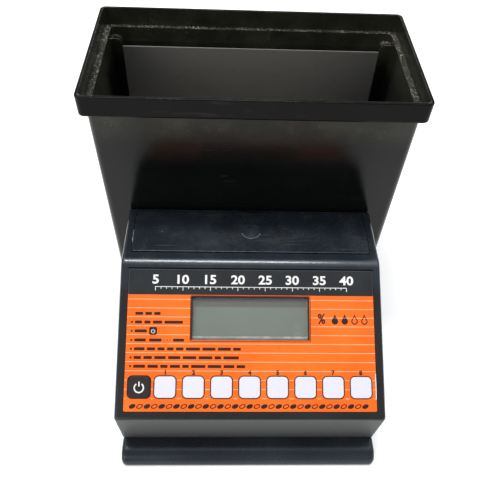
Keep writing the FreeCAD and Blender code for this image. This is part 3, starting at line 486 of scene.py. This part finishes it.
for n, m in {
    "measuring_cell": M_CELL, "console_housing": M_HOUSING, "battery_door": M_DOOR, "base_plate": M_BASE,
    "electrode_front": st, "electrode_rear": st, "panel_overlay": ov, "display_window": cw, "lcd_glass": lc,
    "lcd_frame": ny, "battery_connector": ny, "electrode_connector": ny, "lcd_contact_strips": el,
    "key_on_off": M_KEYD, "main_circuit_board": pcb, "board_screws": zn, "holder_screws": zn, "console_screws": zn,
    "cell_screws": zn, "battery_springs": zn, "battery_contacts": zn, "switch_bodies": sw, "switch_plunger_on_off": sw,
    "controller_chip": sw, "chip_socket": sw, "capacitors": cp, "crystal": zn, "battery_holder": sw, "aa_cells": aa,
    "rubber_feet": ru, "battery_lead_positive": lr, "battery_lead_negative": lb, "electrode_lead_front": lb, "electrode_lead_rear": lr,
}.items():
    assign(n, m)
for i in range(1, 9):
    assign("key_%d" % i, M_KEYW)
    assign("switch_plunger_%d" % i, sw)

# ------------------------------------------------------------------ printing on the overlay
T0, T1, T2 = FILM - 0.008, FILM + 0.018, FILM + 0.036

bm = bmesh.new()
slab(bm, rr(-80.62, 80.62, 74.05, 91.02, 0.9), FILM - 0.39, T1)
mesh_object("overlay_header_band", bm, M_HEADER)

# the recess wall above the film is a painted shade strip, and the film's cut edge carries a painted highlight
bm = bmesh.new()
slab(bm, [(-80.9, 91.14), (80.9, 91.14), (80.9, 91.95), (-80.9, 91.95)], -0.006, 0.012)
mesh_object("overlay_recess_shade", bm, M_SHADE)
bm = bmesh.new()
slab(bm, [(-80.3, 90.55), (80.3, 90.55), (80.3, 90.90), (-80.3, 90.90)], T1 - 0.004, T2)
slab(bm, [(-80.58, 74.3), (-80.28, 74.3), (-80.28, 90.6), (-80.58, 90.6)], T1 - 0.004, T2)
slab(bm, [(80.28, 74.3), (80.55, 74.3), (80.55, 90.6), (80.28, 90.6)], T1 - 0.004, T2)
mesh_object("overlay_edge_painted_highlight", bm, M_EDGE_HIGHLIGHT)

# fine lines across the orange field, broken at the window and the keys
bm = bmesh.new()
for k in range(12):
    s = 7.95 + 5.73 * k
    gaps = []
    if s < 24:
        gaps += [(x0 - 0.85, x0 + w + 0.85) for _, x0, w in KEYS]
    if 43.0 < s < 74.6:
        gaps.append((-40.0, 39.0))
    x = -80.55
    for a, b in sorted(gaps) + [(80.55, 80.55)]:
        if a - x > 0.3:
            slab(bm, [(x, s - 0.17), (a, s - 0.17), (a, s + 0.17), (x, s + 0.17)], T0, T1)
        x = max(x, b)
mesh_object("overlay_fine_lines", bm, M_LINE)

# header: a plain moisture scale, numbers over ticks
bm = bmesh.new()
nums = [5, 10, 15, 20, 25, 30, 35, 40]
for i, v in enumerate(nums):
    cx = -63.0 + 18.0 * i
    digits(bm, str(v), cx, 84.2, 6.1, T1 - 0.004, T2, weight=0.026, squeeze=1.14)
for i in range(36):
    cx = -63.0 + 3.6 * i
    if cx > 63.1:
        break
    h = 2.4 if i % 5 == 0 else 1.3
    slab(bm, [(cx - 0.2, 79.2 - h), (cx + 0.2, 79.2 - h), (cx + 0.2, 79.2), (cx - 0.2, 79.2)], T1 - 0.004, T2)
slab(bm, [(-63.2, 79.1), (63.2, 79.1), (63.2, 79.5), (-63.2, 79.5)], T1 - 0.004, T2 - 0.004)
mesh_object("overlay_scale_print", bm, M_WHITE)

# dark print: frame line, key outlines, numbers, percent sign with drops, step marks
bm = bmesh.new()
ring(bm, rr(-39.95, 38.85, 43.70, 73.70, 0.9), rr(-39.45, 38.42, 44.12, 73.26, 0.6), T0, T1)
for _, x0, w in KEYS:
    g = 0.27
    ring(bm, rr(x0 - g - 0.42, x0 + w + g + 0.42, KEY_S0 - g - 0.42, KEY_S0 + KEY_H + g + 0.42, KEY_R + g + 0.42),
         rr(x0 - g, x0 + w + g, KEY_S0 - g, KEY_S0 + KEY_H + g, KEY_R + g), T0, T1)
for i in range(8):
    digits(bm, str(i + 1), -61.5 + 17.95 * i + 6.65, 24.25, 3.1, T0, T1, weight=0.055)
digits(bm, "%", 46.0, 58.9, 6.8, T0, T1, weight=0.028, squeeze=0.82)
for i, cx in enumerate((54.8, 61.3, 67.8, 74.3)):
    r = 2.15
    if i < 2:
        slab(bm, droplet(cx, 57.4, r), T0, T1)
    else:
        ring(bm, droplet(cx, 57.4, r), [(cx + (x - cx) * 0.66, 57.6 + (s - 57.6) * 0.68) for x, s in droplet(cx, 57.4, r)], T0, T1)
rnd = random.Random(4)


def words(x0, x1, s, cap=1.9):
    """A line of plain bars in place of words."""
    x = x0
    while x < x1 - 2.0:
        w = min(rnd.uniform(3.6, 9.5), x1 - x)
        if x1 - (x + w) < 3.0:
            w = x1 - x
        slab(bm, rr(x, x + w, s - cap / 2, s + cap / 2, 0.45, 4), T0, T1)
        x += w + 1.5


def bullet(s, x=-77.3):
    slab(bm, circle(x, s, 0.7, 20), T0, T1)


words(-75.4, -59.1, 61.7)
for s, x1 in ((56.1, -44.5), (44.6, -43.4), (39.0, -6.8), (33.5, -8.0), (28.0, -3.9)):
    bullet(s)
    if s == 44.6:
        words(-75.4, -68.0, s)
        words(-65.9, -57.9, s)
        for j in range(3):
            slab(bm, rr(-56.9 + 1.95 * j, -55.7 + 1.95 * j, s - 0.22, s + 0.22, 0.2, 4), T0, T1)
        words(-50.6, x1, s)
    else:
        words(-75.4, x1, s)
bullet(50.4)
words(-75.4, -67.6, 50.4)
slab(bm, rr(-66.1, -61.0, 47.9, 53.0, 1.1), T0, T1)
# lower edge: a row of plain seeds
for i in range(33):
    cx = -75.0 + 4.63 * i
    body_r, tip_r = 2.2, 1.35
    if i % 2:
        ring(bm, circle(cx, 3.2, body_r, 24, tip_r, 0.35), circle(cx, 3.2, body_r - 0.72, 24, tip_r - 0.6, 0.35), T0, T1)
    else:
        slab(bm, circle(cx, 3.2, body_r, 24, tip_r, 0.35), T0, T1)
mesh_object("overlay_dark_print", bm, M_BROWN)


def power_mark(bm, cx, cs, r, w, n0, n1):
    arc_band(bm, cx, cs, r, w, -235, 55, n0, n1)
    slab(bm, rr(cx - w / 2, cx + w / 2, cs + r * 0.25, cs + r * 1.35, w * 0.45, 4), n0, n1)


bm = bmesh.new()
power_mark(bm, -63.55, 50.2, 1.15, 0.40, T1 - 0.004, T2)
mesh_object("overlay_power_mark_small", bm, M_WHITE)
bm = bmesh.new()
KT = 0.3
power_mark(bm, -71.25, 14.6, 2.9, 0.85, KT - 0.006, KT + 0.02)
mesh_object("on_off_power_mark", bm, M_WHITE, body="key_on_off_body")

# the front half of the door's finger recess has a painted highlight along its edge, with crumbs in the door's left gap
def top_plane(x, y, n):
    return Vector((x, y, 98.65 + n)) * MM


bm = bmesh.new()
arc_band(bm, 0.0, -1.0, 6.62, 0.30, 196, 344, -0.01, 0.014, 40, top_plane)
mesh_object("door_recess_edge_highlight", bm, M_RECESS_HIGHLIGHT, body="door_body")
bm = bmesh.new()
rnd3 = random.Random(12)
for i in range(26):
    cx, cy = -80.75 + rnd3.uniform(-0.12, 0.12), -12.5 + rnd3.uniform(0.0, 12.0)
    k = rnd3.uniform(0.10, 0.28)
    base_z = 98.5 - rnd3.uniform(0.02, 0.10)
    a0 = rnd3.uniform(0, 6.28)
    low_ring = [bm.verts.new(Vector((cx + k * math.cos(a0 + j * 1.2566) * rnd3.uniform(0.7, 1.2), cy + 1.6 * k * math.sin(a0 + j * 1.2566) * rnd3.uniform(0.7, 1.2), base_z)) * MM) for j in range(5)]
    cap_v = bm.verts.new(Vector((cx, cy, base_z + k * 1.1)) * MM)
    bm.faces.new(list(reversed(low_ring)))
    for j in range(5):
        bm.faces.new((low_ring[j], low_ring[(j + 1) % 5], cap_v))
mesh_object("crumbs_beside_door", bm, M_CRUMB)

# the film's right edge has let go a little; its white is a painted highlight along the lifted edge
bm = bmesh.new()
prev = None
for i in range(25):
    s = 7.5 + i * 0.68
    lift = math.sin(math.pi * i / 24.0)
    a = [P(80.15, s, FILM - 0.01), P(80.55 + 0.10 * lift, s, FILM + 0.05 + 0.36 * lift), P(80.58 + 0.12 * lift, s, FILM - 0.10 + 0.26 * lift), P(80.20, s, FILM - 0.12)]
    cur = [bm.verts.new(p) for p in a]
    if prev:
        for j in range(4):
            bm.faces.new((prev[j], prev[(j + 1) % 4], cur[(j + 1) % 4], cur[j]))
    else:
        bm.faces.new(cur)
    prev = cur
bm.faces.new(list(reversed(prev)))
mesh_object("overlay_lifted_edge_highlight", bm, M_WHITE)

# ------------------------------------------------------------------ display trim, seen through the window
W0 = -2.50
bm = bmesh.new()
ring(bm, rr(WIN[0] + 0.02, WIN[1] - 0.02, WIN[2] + 0.02, WIN[3] - 0.02, 0.55, 6), rr(WIN[0] + 0.85, WIN[1] - 0.85, WIN[2] + 0.30, WIN[3] - 0.50, 0.4, 6), W0, W0 + 0.75)
mesh_object("display_gasket", bm, gk)
bm = bmesh.new()
slab(bm, rr(-38.3, 37.0, 46.15, 47.45, 0.3, 4), -3.83, -3.735)
mesh_object("display_lower_edge", bm, rf)
bm = bmesh.new()
slab(bm, rr(-38.6, 37.3, 44.5, 46.15, 0.3, 4), -3.83, -3.738)
slab(bm, rr(36.6, 37.4, 46.2, 72.8, 0.2, 4), -3.83, -3.738)
mesh_object("display_lower_rim", bm, rim_m)
bm = bmesh.new()
pts = []
rnd2 = random.Random(9)
for i in range(41):
    s = 46.4 + 26.0 * i / 40
    pts.append((-37.35 + 0.22 * math.sin(i * 0.9) * rnd2.uniform(0.2, 1.0), s))
slab(bm, [(-38.75, 46.4)] + pts + [(-38.75, 72.4)], -3.83, -3.74)
mesh_object("display_seal_edge", bm, seal_m)

# ------------------------------------------------------------------ floor, light, camera
me = bpy.data.meshes.new("floor")
me.from_pydata([(-4, -4, 0), (4, -4, 0), (4, 4, 0), (-4, 4, 0)], [], [(0, 1, 2, 3)])
floor = bpy.data.objects.new("floor", me)
bpy.context.scene.collection.objects.link(floor)
fm = Mat("pale_floor")
fm.set(color=fm.mix(fm.noise(3.0, 2.0), (0.90, 0.90, 0.90), (0.92, 0.92, 0.92)), rough=0.8, spec=0.1)
fm.b.inputs["Emission Color"].default_value = (1.0, 1.0, 1.0, 1.0)
fm.set(emit=0.30)
me.materials.append(fm.m)

world = bpy.data.worlds.new("studio")
bpy.context.scene.world = world
world.use_nodes = True
wn = world.node_tree
wn.nodes.clear()
wo = wn.nodes.new("ShaderNodeOutputWorld")
bg = wn.nodes.new("ShaderNodeBackground")
bg.inputs[0].default_value = (0.95, 0.97, 1.0, 1.0)
bg.inputs[1].default_value = 0.45
wn.links.new(bg.outputs[0], wo.inputs[0])


def area(name, loc, target, size, power, color=(1, 1, 1), sy=None):
    li = bpy.data.lights.new(name, "AREA")
    li.shape = "RECTANGLE"
    li.size = size
    li.size_y = sy or size
    li.energy = power
    li.color = color
    o = bpy.data.objects.new(name, li)
    bpy.context.scene.collection.objects.link(o)
    o.location = loc
    o.rotation_euler = (Vector(target) - Vector(loc)).to_track_quat("-Z", "Y").to_euler()
    return o


area("soft_overhead", (0.0, 0.55, 2.2), (0.0, 0.45, 0.0), 4.0, 35.5, (1.0, 1.0, 1.0), 1.7)
area("ceiling_lamp", (-0.13, 0.33, 2.15), (-0.13, 0.30, 0.0), 0.96, 20.0, (1.0, 1.0, 1.0), 0.22)
area("soft_front_left", (-1.6, -2.2, 1.4), (0, 0, 0.05), 2.0, 24.0, (1.0, 0.99, 0.97), 1.0)

cam_data = bpy.data.cameras.new("camera")
cam_data.sensor_width = 36.0
cam_data.lens = 588.6 / 500.0 * 36.0
cam_data.clip_start = 0.01
cam = bpy.data.objects.new("camera", cam_data)
bpy.context.scene.collection.objects.link(cam)
rx, ry, rz = -0.7160687, 0.0393067, -0.0116332
rot = (Matrix.Rotation(rz, 4, "Z") @ Matrix.Rotation(ry, 4, "Y") @ Matrix.Rotation(rx, 4, "X")).transposed()
cam.matrix_world = Matrix.Translation(Vector((-0.01657, -0.27914, 0.39850))) @ rot
bpy.context.scene.camera = cam
bpy.context.scene.view_settings.view_transform = "Standard"
